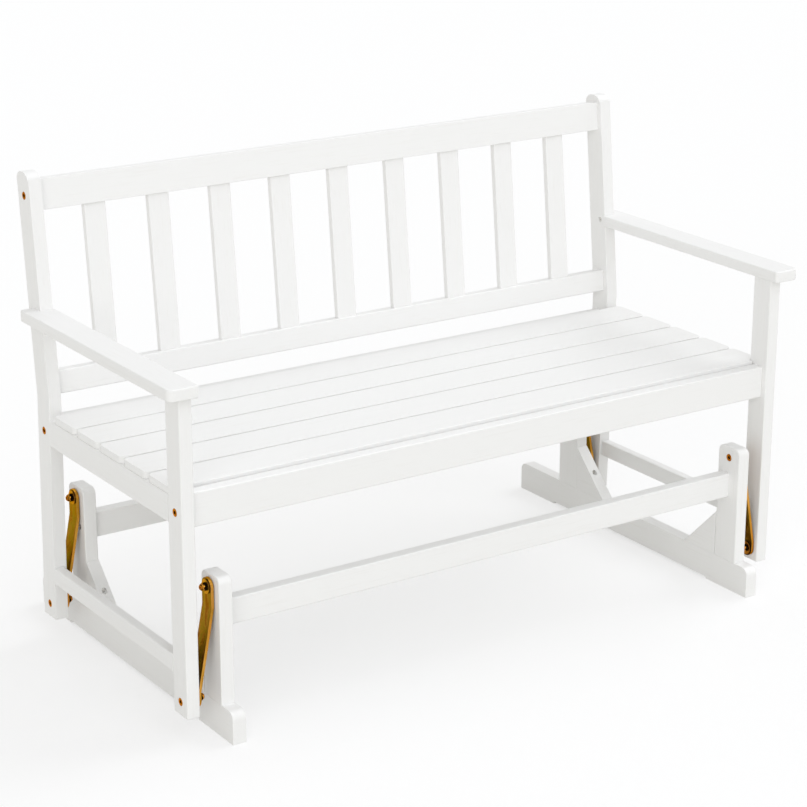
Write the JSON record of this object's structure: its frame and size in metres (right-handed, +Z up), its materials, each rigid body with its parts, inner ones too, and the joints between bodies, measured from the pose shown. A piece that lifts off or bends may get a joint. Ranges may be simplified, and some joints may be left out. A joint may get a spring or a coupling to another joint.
{
  "type": "glider bench",
  "caption": "White wooden slatted bench that glides front to back on steel links hung from a fixed base with two skids.",
  "frame": {"origin": "on the floor, under the middle of the skids", "axes": "+X to the bench's right as seen from the front, +Y to its rear, +Z up"},
  "size_m": [1.25, 0.68, 0.818],
  "materials": {
    "painted_wood": "satin white paint over planed hardwood",
    "zinc": "yellow zinc plating with rainbow tints",
    "hidden_steel": "plated steel"
  },
  "bodies": {
    "base": {"left_skid": "painted_wood", "right_skid": "painted_wood", "left_front_upright": "painted_wood", "left_rear_upright": "painted_wood", "right_front_upright": "painted_wood", "right_rear_upright": "painted_wood", "left_front_gusset": "painted_wood", "left_rear_gusset": "painted_wood", "right_front_gusset": "painted_wood", "right_rear_gusset": "painted_wood", "front_stretcher": "painted_wood", "rear_stretcher": "painted_wood", "upper_pivot_bolts": "zinc", "upper_lock_nuts": "zinc", "upper_washers": "zinc", "stretcher_bolts": "zinc", "gusset_screws": "zinc", "skid_screws": "hidden_steel"},
    "left_front_link": {"left_front_link": "zinc", "left_front_bushes": "hidden_steel"},
    "left_rear_link": {"left_rear_link": "zinc", "left_rear_bushes": "hidden_steel"},
    "right_front_link": {"right_front_link": "zinc", "right_front_bushes": "hidden_steel"},
    "right_rear_link": {"right_rear_link": "zinc", "right_rear_bushes": "hidden_steel"},
    "bench": {"left_front_leg": "painted_wood", "right_front_leg": "painted_wood", "left_rear_post": "painted_wood", "right_rear_post": "painted_wood", "left_seat_rail": "painted_wood", "right_seat_rail": "painted_wood", "left_lower_rail": "painted_wood", "right_lower_rail": "painted_wood", "left_armrest": "painted_wood", "right_armrest": "painted_wood", "front_seat_rail": "painted_wood", "rear_seat_rail": "painted_wood", "middle_seat_rail": "painted_wood", "seat_slat_1": "painted_wood", "seat_slat_2": "painted_wood", "seat_slat_3": "painted_wood", "seat_slat_4": "painted_wood", "seat_slat_5": "painted_wood", "back_top_rail": "painted_wood", "back_lower_rail": "painted_wood", "back_slat_1": "painted_wood", "back_slat_2": "painted_wood", "back_slat_3": "painted_wood", "back_slat_4": "painted_wood", "back_slat_5": "painted_wood", "back_slat_6": "painted_wood", "back_slat_7": "painted_wood", "back_slat_8": "painted_wood", "back_slat_9": "painted_wood", "lower_pivot_bolts": "zinc", "lower_lock_nuts": "zinc", "lower_washers": "zinc", "frame_bolts": "zinc", "arm_screws": "zinc"}
  },
  "joints": [
    {"name": "left_front_link_swing", "type": "hinge", "parent": "base", "child": "left_front_link", "pos_m": [-0.5463, -0.278, 0.25], "axis": [1, 0, 0], "range_deg": [-22, 22]},
    {"name": "left_rear_link_swing", "type": "hinge", "parent": "base", "child": "left_rear_link", "pos_m": [-0.5463, 0.188, 0.25], "axis": [1, 0, 0], "range_deg": [-22, 22]},
    {"name": "right_front_link_swing", "type": "hinge", "parent": "base", "child": "right_front_link", "pos_m": [0.5463, -0.278, 0.25], "axis": [1, 0, 0], "range_deg": [-22, 22]},
    {"name": "right_rear_link_swing", "type": "hinge", "parent": "base", "child": "right_rear_link", "pos_m": [0.5463, 0.188, 0.25], "axis": [1, 0, 0], "range_deg": [-22, 22]},
    {"name": "bench_glide", "type": "hinge", "parent": "left_front_link", "child": "bench", "pos_m": [-0.5727, -0.278, 0.066], "axis": [1, 0, 0], "range_deg": [-22, 22]}
  ],
  "couplings": [
    {"joint": "left_rear_link_swing", "follows": "left_front_link_swing", "ratio": 1},
    {"joint": "right_front_link_swing", "follows": "left_front_link_swing", "ratio": 1},
    {"joint": "right_rear_link_swing", "follows": "left_front_link_swing", "ratio": 1},
    {"joint": "bench_glide", "follows": "left_front_link_swing", "ratio": -1}
  ]
}
